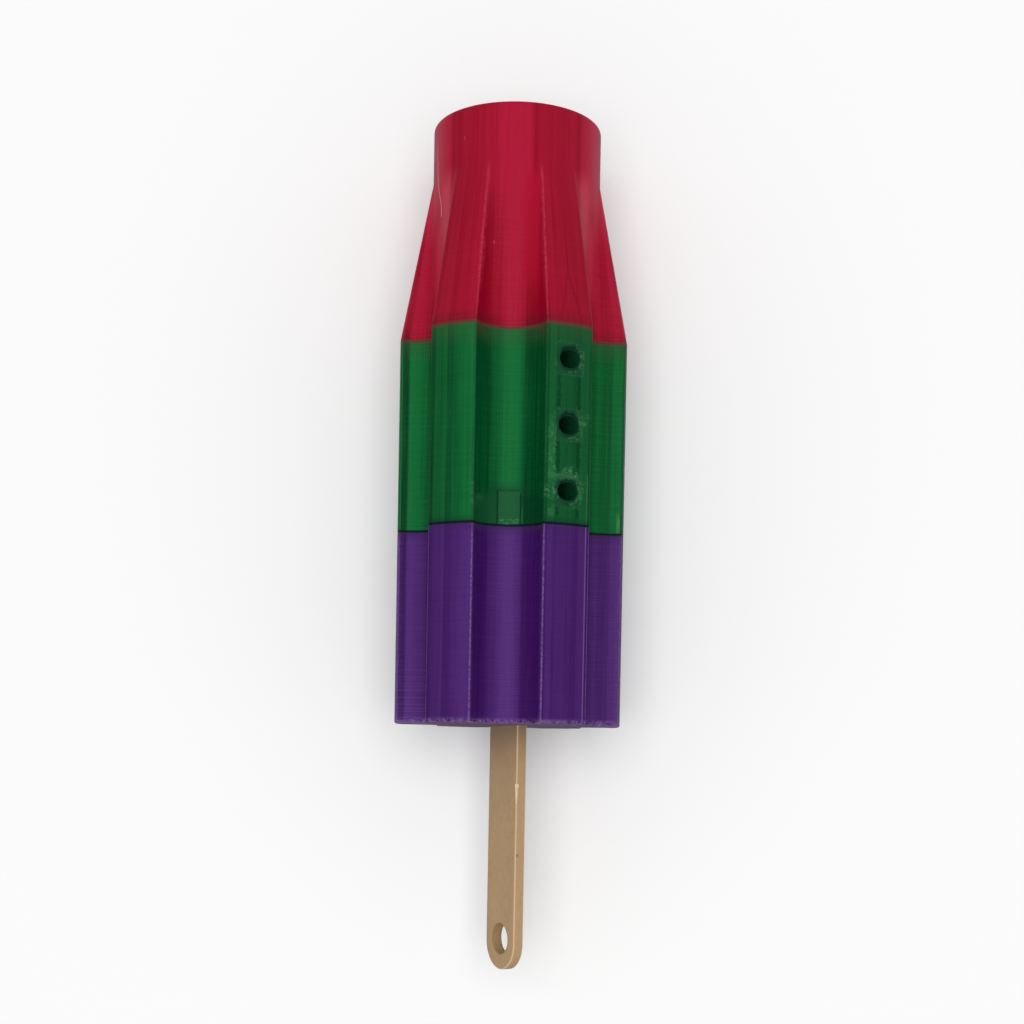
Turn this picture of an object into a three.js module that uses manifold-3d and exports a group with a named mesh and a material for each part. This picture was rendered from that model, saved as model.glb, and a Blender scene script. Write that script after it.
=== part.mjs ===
// A plastic copy of a fluted ice lolly: a red tip, a green middle and a purple base
// in one line, on a flat stick with a hole for hanging.
//
// Lengths are in millimetres. The lolly is drawn upright, with its base at z = 0, its
// tip up and its shown side facing +X, and is then laid on its back. Angles round it
// are in degrees from +X towards +Y.

import * as THREE from "three";
import { mergeVertices } from "three/addons/utils/BufferGeometryUtils.js";
import Module from "manifold-3d";

// Cross-section: a round bar with six lobes and a round flute between each two.
const LOBES = 6;
const BODY_RADIUS = 21;
const FLUTE_RADIUS = 6.2;
const FLUTE_CENTRE = 21.4; // from the lolly's axis to the flute's
const EDGE_RADIUS = 0.4; // where a lobe turns into a flute

// Heights of the sections.
const BASE_TOP = 35.4;
const MIDDLE_TOP = 70.3;
const TAPER_START = 70.9; // from here the lobes sink into the neck
const NECK_START = 99.7;
const TIP_TOP = 110.1;
const NECK_RADIUS = 15.4;

// Edges and joints.
const FOOT_ROUND = 0.5; // rounded edge under the base
const RIM_ROUND = 0.9; // rounded rim of the tip
const JOINT_GAP = 0.3; // open line between base and middle
const JOINT_CHAMFER = 0.15;
const COLOUR_GAP = 0.1; // between middle and tip
const CLEARANCE = 0.3; // round what is pushed into a pocket

// The flat tab that keys the base into the middle, behind the front flute.
const TAB_WIDTH = 4;
const TAB_HEIGHT = 6.5;
const TAB_DEPTH = 1.6;
const TAB_RADIUS = 13.7; // from the lolly's axis to the tab's middle plane

// Three blind holes in one lobe of the middle section.
const HOLE_DIAMETER = 3.9;
const HOLE_DEPTH = 8;
const HOLE_SPACING = 11.5;
const HOLE_LOBE = 30;

// Flat stick.
const STICK_WIDTH = 10.4;
const STICK_THICKNESS = 2.05;
const STICK_REACH = 45; // below the base
const STICK_SUNK = 8; // inside the base
const STICK_ANGLE = 31; // the way its width points
const STICK_HOLE_DIAMETER = 5.6;
const STICK_HOLE_UP = 5.75; // from the rounded end to the hole's centre

// Fineness of the facets.
const FLUTE_STEPS = 12;
const LOBE_STEPS = 6;
const EDGE_STEPS = 3;
const TAPER_STEPS = 8;
const ROUND_STEPS = 3;
const HOLE_SIDES = 28;
const WELD_DISTANCE = 1e-4; // points nearer than this become one
const OVERRUN = 1; // how far a cut or a joined shape runs past a face

const wasm = await Module();
wasm.setup();

const radians = THREE.MathUtils.degToRad;

// The outline of the body, as a Shape: flute, edge, lobe and edge, six times round.
function bodyOutline() {
  const edgeFromAxis = BODY_RADIUS - EDGE_RADIUS;
  const edgeFromFlute = FLUTE_RADIUS + EDGE_RADIUS;
  const edgeAngle = Math.acos(
    (edgeFromAxis ** 2 + FLUTE_CENTRE ** 2 - edgeFromFlute ** 2) /
      (2 * edgeFromAxis * FLUTE_CENTRE),
  );
  const edgeCentre = new THREE.Vector2(edgeFromAxis, 0).rotateAround(
    new THREE.Vector2(),
    edgeAngle,
  );
  const fluteCentre = new THREE.Vector2(FLUTE_CENTRE, 0);
  const towardsFlute = fluteCentre.clone().sub(edgeCentre).angle();
  const towardsEdge = edgeCentre.clone().sub(fluteCentre).angle();
  const points = [];

  function arc(centre, radius, from, to, steps, turn) {
    for (let i = 0; i < steps; i++) {
      const at = from + ((to - from) * i) / steps;
      const p = new THREE.Vector2(radius, 0).rotateAround(new THREE.Vector2(), at);
      points.push(p.add(centre).rotateAround(new THREE.Vector2(), turn));
    }
  }

  const mirrored = new THREE.Vector2(edgeCentre.x, -edgeCentre.y);
  const step = (2 * Math.PI) / LOBES;
  for (let k = 0; k < LOBES; k++) {
    const turn = k * step;
    const full = 2 * Math.PI;
    arc(mirrored, EDGE_RADIUS, -edgeAngle, full - towardsFlute, EDGE_STEPS, turn);
    arc(fluteCentre, FLUTE_RADIUS, full - towardsEdge, towardsEdge, FLUTE_STEPS, turn);
    arc(edgeCentre, EDGE_RADIUS, towardsFlute - full, edgeAngle, EDGE_STEPS, turn);
    arc(new THREE.Vector2(), BODY_RADIUS, edgeAngle, step - edgeAngle, LOBE_STEPS, turn);
  }
  return new THREE.Shape(points);
}

// A body whose outline changes with height. Each level says at which height it lies,
// how far the outline has gone from fluted (0) to the neck's circle (1), and how far
// it is drawn in towards the axis.
function flutedBody(levels) {
  const steps = levels.length - 1;
  const geometry = new THREE.ExtrudeGeometry(bodyOutline(), {
    depth: 1,
    steps,
    bevelEnabled: false,
  });
  const position = geometry.getAttribute("position");
  for (let i = 0; i < position.count; i++) {
    const level = levels[Math.round(position.getZ(i) * steps)];
    const x = position.getX(i);
    const y = position.getY(i);
    const fluted = Math.hypot(x, y);
    const radius = THREE.MathUtils.lerp(fluted, NECK_RADIUS, level.round) - level.inset;
    position.setXYZ(i, (x * radius) / fluted, (y * radius) / fluted, level.z);
  }
  return geometry;
}

// Levels of a quarter-round edge: from the flat end's edge to the side, or the reverse.
function roundedEdge(radius, endHeight, inwards, round) {
  const levels = [];
  for (let i = 0; i <= ROUND_STEPS; i++) {
    const a = (Math.PI / 2) * (i / ROUND_STEPS);
    levels.push({
      z: endHeight + inwards * radius * (1 - Math.cos(a)),
      inset: radius * (1 - Math.sin(a)),
      round,
    });
  }
  return inwards > 0 ? levels : levels.reverse();
}

function solid(geometry) {
  const bare = geometry.clone();
  bare.deleteAttribute("normal");
  bare.deleteAttribute("uv");
  const merged = mergeVertices(bare, WELD_DISTANCE);
  return new wasm.Manifold(
    new wasm.Mesh({
      numProp: 3,
      vertProperties: merged.getAttribute("position").array,
      triVerts: new Uint32Array(merged.index.array),
    }),
  );
}

function geometryOf(manifold) {
  const mesh = manifold.getMesh();
  const geometry = new THREE.BufferGeometry();
  geometry.setAttribute("position", new THREE.BufferAttribute(mesh.vertProperties, 3));
  geometry.setIndex(new THREE.BufferAttribute(mesh.triVerts, 1));
  geometry.computeVertexNormals();
  return geometry;
}

// A box that stands from one height to another, centred at a radius in a direction.
function uprightBox(depth, width, fromHeight, toHeight, radius, angle) {
  return new THREE.BoxGeometry(depth, width, toHeight - fromHeight)
    .translate(radius, 0, (fromHeight + toHeight) / 2)
    .rotateZ(radians(angle));
}

function tab(margin, fromHeight) {
  return uprightBox(
    TAB_DEPTH + 2 * margin,
    TAB_WIDTH + 2 * margin,
    fromHeight,
    BASE_TOP + TAB_HEIGHT + margin,
    TAB_RADIUS,
    0,
  );
}

function makeTip() {
  const levels = [{ z: MIDDLE_TOP + COLOUR_GAP, round: 0, inset: 0 }];
  for (let i = 0; i <= TAPER_STEPS; i++) {
    const done = i / TAPER_STEPS;
    const z = THREE.MathUtils.lerp(TAPER_START, NECK_START, done);
    levels.push({ z, round: done, inset: 0 });
  }
  levels.push(...roundedEdge(RIM_ROUND, TIP_TOP, -1, 1));
  return flutedBody(levels);
}

function makeMiddle() {
  const bottom = BASE_TOP + JOINT_GAP / 2;
  const body = flutedBody([
    { z: bottom, round: 0, inset: JOINT_CHAMFER },
    { z: bottom + JOINT_CHAMFER, round: 0, inset: 0 },
    { z: MIDDLE_TOP, round: 0, inset: 0 },
  ]);
  const pocket = tab(CLEARANCE, BASE_TOP - OVERRUN);
  let cut = solid(body).subtract(solid(pocket));
  const middleHeight = (BASE_TOP + MIDDLE_TOP) / 2;
  const mouth = BODY_RADIUS + OVERRUN;
  const length = HOLE_DEPTH + OVERRUN;
  for (const row of [-1, 0, 1]) {
    const bore = new THREE.CylinderGeometry(
      HOLE_DIAMETER / 2,
      HOLE_DIAMETER / 2,
      length,
      HOLE_SIDES,
    )
      .rotateZ(Math.PI / 2)
      .translate(mouth - length / 2, 0, middleHeight + row * HOLE_SPACING)
      .rotateZ(radians(HOLE_LOBE));
    cut = cut.subtract(solid(bore));
  }
  return geometryOf(cut);
}

function makeBase() {
  const top = BASE_TOP - JOINT_GAP / 2;
  const body = flutedBody([
    ...roundedEdge(FOOT_ROUND, 0, 1, 0),
    { z: top - JOINT_CHAMFER, round: 0, inset: 0 },
    { z: top, round: 0, inset: JOINT_CHAMFER },
  ]);
  const slot = uprightBox(
    STICK_WIDTH + 2 * CLEARANCE,
    STICK_THICKNESS + 2 * CLEARANCE,
    -OVERRUN,
    STICK_SUNK + CLEARANCE,
    0,
    STICK_ANGLE,
  );
  const key = tab(0, top - OVERRUN);
  return geometryOf(solid(body).subtract(solid(slot)).add(solid(key)));
}

// The stick's face lies in the XY plane with its length along Y, before it is stood up.
function makeStick() {
  const half = STICK_WIDTH / 2;
  const face = new THREE.Shape();
  face.moveTo(half, STICK_SUNK);
  face.lineTo(-half, STICK_SUNK);
  face.lineTo(-half, half - STICK_REACH);
  face.absarc(0, half - STICK_REACH, half, Math.PI, 2 * Math.PI, false);
  face.closePath();
  const hole = new THREE.Path();
  const holeHeight = STICK_HOLE_UP - STICK_REACH;
  hole.absarc(0, holeHeight, STICK_HOLE_DIAMETER / 2, 0, 2 * Math.PI, true);
  face.holes.push(hole);
  return new THREE.ExtrudeGeometry(face, {
    depth: STICK_THICKNESS,
    bevelEnabled: false,
    curveSegments: HOLE_SIDES / 2,
  })
    .translate(0, 0, -STICK_THICKNESS / 2)
    .rotateX(Math.PI / 2)
    .rotateZ(radians(STICK_ANGLE));
}

function piece(name, geometry, color, roughness) {
  const material = new THREE.MeshStandardMaterial({ color, roughness, metalness: 0 });
  const mesh = new THREE.Mesh(geometry, material);
  mesh.name = name;
  return mesh;
}

const lolly = new THREE.Group();
lolly.add(piece("tip_section", makeTip(), 0xa8142f, 0.3));
lolly.add(piece("middle_section", makeMiddle(), 0x14652f, 0.3));
lolly.add(piece("base_section", makeBase(), 0x4a2672, 0.3));
lolly.add(piece("stick", makeStick(), 0xa68a66, 0.6));

// Laid on its back: the shown side up, the tip towards -X, at rest on the lower edges
// of the two lobes beside the back flute, with the middle of its box over the origin.
const outline = bodyOutline().getPoints();
const backReach = -Math.min(...outline.map((p) => p.x));
lolly.rotation.y = -Math.PI / 2;
lolly.position.set((TIP_TOP - STICK_REACH) / 2, 0, backReach);

const group = new THREE.Group();
group.add(lolly);
export default group;
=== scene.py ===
"""A plastic copy of a fluted ice lolly in three colours, lying on its back on a pale floor."""

import math

import bmesh
import bpy
from mathutils import Matrix, Vector


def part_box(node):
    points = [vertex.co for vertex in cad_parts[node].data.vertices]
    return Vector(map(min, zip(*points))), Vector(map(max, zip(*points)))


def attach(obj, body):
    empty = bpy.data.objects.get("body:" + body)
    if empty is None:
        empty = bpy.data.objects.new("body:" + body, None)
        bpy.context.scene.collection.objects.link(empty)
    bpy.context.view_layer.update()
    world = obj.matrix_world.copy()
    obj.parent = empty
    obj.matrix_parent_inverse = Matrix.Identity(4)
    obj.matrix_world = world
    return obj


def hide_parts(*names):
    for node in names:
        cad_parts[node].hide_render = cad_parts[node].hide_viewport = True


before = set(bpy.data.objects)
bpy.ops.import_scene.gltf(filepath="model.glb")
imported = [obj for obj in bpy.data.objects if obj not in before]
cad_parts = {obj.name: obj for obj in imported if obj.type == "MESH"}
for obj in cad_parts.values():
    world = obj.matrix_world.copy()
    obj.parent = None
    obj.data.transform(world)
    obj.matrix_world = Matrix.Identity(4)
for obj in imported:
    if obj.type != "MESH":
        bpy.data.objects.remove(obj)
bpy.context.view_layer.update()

# Lengths are in millimetres while a piece is being shaped. The lolly is shaped upright,
# its base at height 0 and its shown side facing +X, and is then laid on its back.
MM = 0.001

# Cross-section of the body.
LOBES = 6
FLUTE_RADIUS = 6.2
FLUTE_CENTRE = 21.4
EDGE_RADIUS = 0.4
EDGE_ANGLE = 17.2  # from a flute's middle to its edge
LOBE_HALF = 180 / LOBES
LOBE_GREY = 0.3  # how light a lobe is where its bands fade

# Where the tip narrows, and how edges and joints are finished.
TAPER_START = 70.9
NECK_START = 99.7
NECK_RADIUS = 15.4
RIM_ROUND = 0.9
FOOT_ROUND = 0.36
FOOT_LEAN = 0.018  # rise of the underside towards the shown side
JOINT_ROUND = 0.16
JOINT_DROP = 0.05  # the base ends this far under the middle's solid
HAIR = 0.01  # a length too small to see

# Holes in one lobe of the middle.
HOLE_RADIUS = 1.85
HOLE_DEPTH = 8.0
HOLE_SPACING = 11.5
HOLE_LOBE = 30.0
HOLE_MIDDLE = 52.85
HOLE_LIP = 0.15
HOLE_SAG = 0.87  # the holes are a little lower than wide
HOLE_SPREAD = 1.08
HOLE_ASIDE = -0.7  # degrees from the lobe's middle

# The key of the base, which shows through the front flute.
KEY_TOP = 42.0
KEY_HALF = 7.6  # degrees

# Stick.
STICK_WIDTH = 10.4
STICK_THICKNESS = 2.05
STICK_ANGLE = 31.0
STICK_SUNK = 6.0
STICK_EDGE = 0.22
STICK_HOLE_RADIUS = 2.8
STICK_HOLE_UP = 5.75
STICK_HOLE_LIP = 0.18
STICK_SHIFT = 0.25  # to the right
STICK_EXTRA = 0.3  # its free end goes this much further than the solid's
EDGE_HIGHLIGHT = 0.8  # how strongly the stick's rounded edges take their painted highlight
CHIP_HEIGHT = -12.3  # middle of the chip in the stick's corner
CHIP_OUT = 0.08  # from the corner outwards
CHIP_PROFILE = (
    (0, -2.1), (0.5, -1.9), (0.66, -1.5), (0.44, -0.8), (0.38, 0.3), (0.28, 1.6), (0, 2.3),
)
SPOT_HEIGHT = -23.6  # dark spot in the stick's side
SPOT_IN = 0.45  # from the corner

# Fineness of the shapes.
EDGE_STEPS = 4
FLUTE_STEPS = 28
LOBE_STEPS = 14
TAPER_STEPS = 36
NECK_STEPS = 10
SIDE_STEPS = 20
ROUND_STEPS = 5
JOINT_STEPS = 3
LIP_STEPS = 4
LATHE_STEPS = 48
STICK_END_STEPS = 40
STICK_EDGE_STEPS = 4
WELD_DISTANCE = 0.001
OVERRUN = 1.0  # how far a cutter runs past a face
SMOOTH_BELOW = 35  # degrees between two faces
TIP_SMOOTH_BELOW = 28

# Places in a piece's list of materials, after the one that covers it.
END_FINISH = 1  # flat ends, and the chip
BORE_FINISH = 2  # walls of the holes


def height_span(node):
    """Lowest and highest place of a CAD node along the upright lolly, in millimetres."""
    low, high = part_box(node)
    return (BASE_X - high.x) / MM, (BASE_X - low.x) / MM


body_low, body_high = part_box("base_section")
BASE_X = body_high.x
AXIS_Z = (body_low.z + body_high.z) / 2
BODY_RADIUS = (body_high.y - body_low.y) / 2 / MM
MIDDLE_BOTTOM, MIDDLE_TOP = height_span("middle_section")
TIP_TOP = height_span("tip_section")[1]
STICK_END = height_span("stick")[0] - STICK_EXTRA
BASE_TOP = MIDDLE_BOTTOM - JOINT_DROP

LAID_DOWN = (
    Matrix.Translation((BASE_X, 0, AXIS_Z))
    @ Matrix.Rotation(math.radians(-90), 4, "Y")
    @ Matrix.Scale(MM, 4)
)

STICK_STANDS = (
    Matrix.Translation((0, STICK_SHIFT, 0))
    @ Matrix.Rotation(math.radians(STICK_ANGLE), 4, "Z")
    @ Matrix.Rotation(math.radians(90), 4, "X")
)


# Camera, floor and light

CAMERA_PLACE = (0.0336, 0.0065, 0.3191)
CAMERA_TURN = (-1.445, 1.058, 91.056)
PHOTO_SIDE = 1024
FOCAL_PIXELS = 1600
CENTRE_ROW = 774  # row of the photo that the lens looks straight at
FLOOR_REACH = 3
FLOOR_GREY = 0.86
SOFTBOX_PLACE = (0.03, 0.0, 0.95)
SOFTBOX_SIDE = 0.7
SOFTBOX_POWER = 5.2
STUDIO_LIGHT = 0.65
MIRRORED_ABOVE = 0.002
MIRRORED_BELOW = 0.2  # added to that


def add_camera():
    data = bpy.data.cameras.new("camera")
    data.sensor_width = 36
    data.lens = FOCAL_PIXELS / PHOTO_SIDE * data.sensor_width
    data.shift_y = CENTRE_ROW / PHOTO_SIDE - 0.5
    data.clip_start = 0.01
    camera = bpy.data.objects.new("camera", data)
    camera.location = CAMERA_PLACE
    camera.rotation_euler = [math.radians(a) for a in CAMERA_TURN]
    bpy.context.scene.collection.objects.link(camera)
    bpy.context.scene.camera = camera


def add_softbox():
    """A soft lamp overhead, which the gloss doesn't mirror."""
    data = bpy.data.lights.new("softbox above", "AREA")
    data.shape = "RECTANGLE"
    data.size = SOFTBOX_SIDE
    data.size_y = SOFTBOX_SIDE
    data.energy = SOFTBOX_POWER
    lamp = bpy.data.objects.new("softbox above", data)
    lamp.location = SOFTBOX_PLACE
    aim = Vector((0, 0, AXIS_Z)) - Vector(SOFTBOX_PLACE)
    lamp.rotation_euler = aim.to_track_quat("-Z", "Y").to_euler()
    lamp.visible_glossy = False
    bpy.context.scene.collection.objects.link(lamp)


def add_stage():
    bm = bmesh.new()
    bmesh.ops.create_grid(bm, x_segments=1, y_segments=1, size=FLOOR_REACH)
    mesh = bpy.data.meshes.new("floor")
    bm.to_mesh(mesh)
    bm.free()
    floor = bpy.data.objects.new("floor", mesh)
    bpy.context.scene.collection.objects.link(floor)
    paint = bpy.data.materials.new("pale floor")
    paint.use_nodes = True
    surface = paint.node_tree.nodes["Principled BSDF"]
    surface.inputs["Base Color"].default_value = (FLOOR_GREY, FLOOR_GREY, FLOOR_GREY, 1)
    surface.inputs["Roughness"].default_value = 0.9
    surface.inputs["Specular IOR Level"].default_value = 0.0
    mesh.materials.append(paint)
    floor.visible_glossy = False
    add_studio()
    add_softbox()


def add_studio():
    """White surroundings that light evenly. The gloss mirrors a dark room instead, paler
    towards the floor, so that the colours stay deep."""
    world = bpy.data.worlds.new("studio")
    bpy.context.scene.world = world
    world.use_nodes = True
    w = Wiring(world.node_tree)
    direction = w.add("ShaderNodeTexCoord").outputs["Generated"]
    up = w.add("ShaderNodeSeparateXYZ", {0: direction}).outputs[2]
    mirrored = w.step_up(up, 0.0, -0.7)
    dim = w.math("MULTIPLY_ADD", mirrored, MIRRORED_BELOW, MIRRORED_ABOVE)
    is_gloss = w.add("ShaderNodeLightPath").outputs["Is Glossy Ray"]
    strength = w.mix(is_gloss, (STUDIO_LIGHT,) * 3 + (1,), dim)
    sky = world.node_tree.nodes["Background"]
    sky.inputs["Color"].default_value = (1, 1, 1, 1)
    world.node_tree.links.new(strength, sky.inputs["Strength"])
    bpy.context.scene.view_settings.view_transform = "Standard"


# Wiring of materials

def srgb(red, green, blue):
    """A colour given as 8-bit screen values, as the renderer wants it."""
    def linear(value):
        value /= 255
        return value / 12.92 if value <= 0.04045 else ((value + 0.055) / 1.055) ** 2.4
    return (linear(red), linear(green), linear(blue), 1)


class Wiring:
    """Adds nodes to one tree and joins them."""

    def __init__(self, tree):
        self.tree = tree

    def add(self, kind, inputs=None, **settings):
        node = self.tree.nodes.new(kind)
        for name, value in settings.items():
            setattr(node, name, value)
        for socket, value in (inputs or {}).items():
            self.join(value, node.inputs[socket])
        return node

    def join(self, value, socket):
        if isinstance(value, bpy.types.NodeSocket):
            self.tree.links.new(value, socket)
        else:
            socket.default_value = value

    def math(self, operation, *values, clamp=False):
        inputs = dict(enumerate(values))
        return self.add("ShaderNodeMath", inputs, operation=operation, use_clamp=clamp).outputs[0]

    def times(self, first, second, clamp=False):
        return self.math("MULTIPLY", first, second, clamp=clamp)

    def mix(self, amount, first, second):
        """A colour between two colours."""
        node = self.add("ShaderNodeMix", data_type="RGBA")
        for socket, value in ((0, amount), (6, first), (7, second)):
            self.join(value, node.inputs[socket])
        return node.outputs[2]

    def marked(self, colour, mask, strength, tint):
        """A colour that turns to a tint where the mask is 1, as far as strength says."""
        return self.mix(self.times(mask, strength), colour, tint)

    def line(self, value, stops):
        """A value that changes along a line of (place, value) stops."""
        first, last = stops[0][0], stops[-1][0]
        along = self.math("DIVIDE", self.math("SUBTRACT", value, first), last - first, clamp=True)
        band = self.add("ShaderNodeValToRGB", {0: along})
        elements = band.color_ramp.elements
        while len(elements) < len(stops):
            elements.new(0.5)
        for element, (place, grey) in zip(elements, stops):
            element.position = (place - first) / (last - first)
            element.color = (grey, grey, grey, 1)
        return band.outputs[0]

    def blend(self, amount, first, second):
        """A number between two numbers."""
        node = self.add("ShaderNodeMix", data_type="FLOAT")
        for socket, value in ((0, amount), (2, first), (3, second)):
            self.join(value, node.inputs[socket])
        return node.outputs[0]

    def bump_of(self, value, centre, half_width):
        """1 at the centre, falling to 0 at half_width on either side."""
        away = self.math("ABSOLUTE", self.math("SUBTRACT", value, centre))
        return self.math("SUBTRACT", 1.0, self.math("DIVIDE", away, half_width), clamp=True)

    def step_up(self, value, start, end):
        """0 before the start, rising softly to 1 at the end."""
        return self.add(
            "ShaderNodeMapRange", {0: value, 1: start, 2: end}, interpolation_type="SMOOTHSTEP"
        ).outputs[0]

    def relief(self, height, depth, strength):
        """A normal for a relief whose depth is in mm."""
        inputs = {"Height": height, "Distance": depth * MM, "Strength": strength}
        return self.add("ShaderNodeBump", inputs).outputs[0]

    def noise(self, vector, scale, detail=2.0, roughness=0.5):
        inputs = {"Vector": vector, "Scale": scale, "Detail": detail, "Roughness": roughness}
        return self.add("ShaderNodeTexNoise", inputs).outputs[0]


def shader_group(name, inputs, outputs, vector_outputs=(), vector_inputs=()):
    """A node group whose sockets are numbers, given with their defaults, and vectors."""
    tree = bpy.data.node_groups.new(name, "ShaderNodeTree")
    for socket in vector_inputs:
        tree.interface.new_socket(socket, in_out="INPUT", socket_type="NodeSocketVector")
    for socket, default in inputs.items():
        made = tree.interface.new_socket(socket, in_out="INPUT", socket_type="NodeSocketFloat")
        made.default_value = default
    for socket in outputs:
        tree.interface.new_socket(socket, in_out="OUTPUT", socket_type="NodeSocketFloat")
    for socket in vector_outputs:
        tree.interface.new_socket(socket, in_out="OUTPUT", socket_type="NodeSocketVector")
    wiring = Wiring(tree)
    return tree, wiring, wiring.add("NodeGroupInput"), wiring.add("NodeGroupOutput")


def place_on_lolly():
    """Group: where a point of the lolly lies. Height is in mm above the base. Angle is in
    degrees round the lolly from the shown side, and From flute is counted from the middle
    of the nearest flute. Facing is the angle that the wall faces. Unrolled is the surface
    laid flat, in mm."""
    tree, w, _, out = shader_group(
        "place on the lolly", {}, ("Height", "Angle", "From flute", "Facing"), ("Unrolled",)
    )
    coordinates = w.add("ShaderNodeTexCoord").outputs["Object"]
    to_axis = (-BASE_X / MM, 0, -AXIS_Z / MM)
    in_mm = {"Vector": coordinates, "Location": to_axis, "Scale": (1 / MM,) * 3}
    centred = w.add("ShaderNodeMapping", in_mm)
    x, y, z = w.add("ShaderNodeSeparateXYZ", {0: centred.outputs[0]}).outputs
    height = w.times(x, -1.0)
    angle = w.math("DEGREES", w.math("ARCTAN2", y, z))
    from_flute = w.math("WRAP", angle, LOBE_HALF, -LOBE_HALF)
    outward = w.add("ShaderNodeAttribute", attribute_name="outward").outputs["Vector"]
    ahead, right, _ = w.add("ShaderNodeSeparateXYZ", {0: outward}).outputs
    facing = w.math("DEGREES", w.math("ARCTAN2", right, ahead))
    around = w.times(angle, math.radians(BODY_RADIUS))
    unrolled = w.add("ShaderNodeCombineXYZ", {0: around, 1: height}).outputs[0]
    results = {"Height": height, "Angle": angle, "From flute": from_flute, "Facing": facing}
    for socket, value in {**results, "Unrolled": unrolled}.items():
        tree.links.new(value, out.inputs[socket])
    return tree


# How light the translucent plastic looks across the body, as (degrees, value) pairs:
# partly its own bands and partly painted shade, darker where a wall turns steeply away.
# In a flute the degrees tell how far its wall turns from facing straight out.
FLUTE_SHADE = (
    (-75, 0.2), (-60, 0.08), (-36, 0.1), (-24, 0.2), (-21, 0.56), (-12, 0.86), (-4, 0.96),
    (4, 0.95), (14, 0.76), (20, 0.54), (34, 0.34), (39, 0.1), (64, 0.06), (75, 0.12),
)
# In a lobe they are counted from its middle, first left and then right of the front.
LEFT_LOBE_SHADE = (
    (-12.6, 0.1), (-10.4, 0.1), (-9.4, 0.34), (-5, 0.36), (-2.7, 0.52), (-2, 0.15), (0.6, 0.28),
    (4, 0.48), (11.4, 0.76), (12.4, 0.38),
)
RIGHT_LOBE_SHADE = (
    (-12.6, 0.05), (-11.4, 0.1), (-10.8, 0.5), (-8.4, 0.46), (-7.6, 0.2), (-6.5, 0.35), (2.4, 0.29),
    (4.2, 0.14), (5.2, 0.16), (5.9, 0.36), (10.6, 0.42), (11.4, 0.14),
)
# The side flutes' walls that face the shown side, left and right: painted light and
# shade, lighter the more squarely a wall faces the light above.
LEFT_WALL_SHADE = (
    (-42, 0.15), (-37, 0.2), (-33, 0.5), (-28, 0.7), (-12, 1.0), (1.5, 0.98), (5, 0.3), (8, 0.1),
)
RIGHT_WALL_SHADE = (
    (-20, 0.3), (-13, 0.8), (0, 0.74), (3, 0.45), (20, 0.5), (25, 0.74), (33, 0.6), (60, 0.1),
)
# The round neck, by the degrees from a flute's middle.
NECK_SHADE = (
    (-30, 0.35), (-22, 0.4), (-18, 0.6), (-12.5, 0.6), (-9.5, 0.95), (10, 0.92), (11.5, 0.6),
    (13, 0.15), (14.5, 0.25), (17, 0.5), (20, 0.4), (30, 0.36),
)
# Milkiness and sheen, in the same way: partly the plastic's own milkiness, partly a
# painted reflection of the pale surroundings.
FLUTE_MILK_AND_SHEEN = ((-75, 0.2), (-60, 0), (-26, 0.05), (-12, 0.25), (34, 0.25), (42, 0), (75, 0.1))
LEFT_LOBE_MILK_AND_SHEEN = (
    (-12.6, 0), (-10.4, 0.2), (-9, 0.5), (-2.7, 0.7), (-2, 0.15), (3, 0.1), (9, 0.35), (12.6, 0.5),
)
RIGHT_LOBE_MILK_AND_SHEEN = (
    (-12.6, 0), (-11.5, 0.1), (-10.8, 0.7), (-8.4, 0.6), (-7.6, 0.1), (-6.4, 0.4), (2.4, 0.4),
    (4, 0.15), (5, 0.2), (6, 0.65), (10.7, 0.7), (11.4, 0.2),
)


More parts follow.
